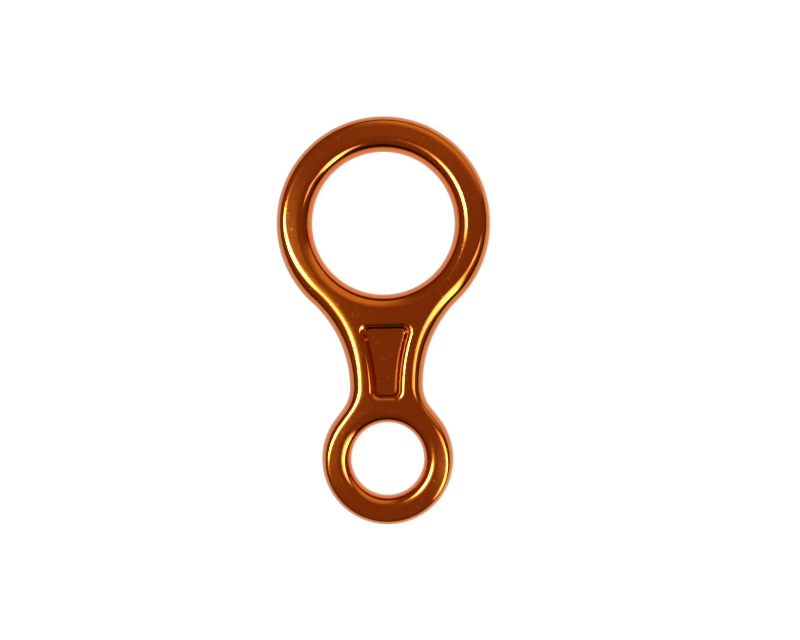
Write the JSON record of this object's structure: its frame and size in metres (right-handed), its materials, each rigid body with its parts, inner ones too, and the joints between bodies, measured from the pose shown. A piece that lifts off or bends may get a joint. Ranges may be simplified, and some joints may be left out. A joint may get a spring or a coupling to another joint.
{
  "type": "figure eight descender",
  "caption": "Flat figure eight descender with a large rope ring, a small connector ring and a tapered recess in its neck.",
  "frame": {"origin": "middle of the underside of the body, which lies flat on its back face", "axes": "+Y along the body towards the large ring, +X across it, +Z through its thickness, out of the front face"},
  "size_m": [0.0764, 0.1456, 0.0116],
  "materials": {
    "anodised_aluminium": "polished, then orange anodised, glossy"
  },
  "bodies": {
    "root": {"descender_body": "anodised_aluminium"}
  },
  "joints": []
}
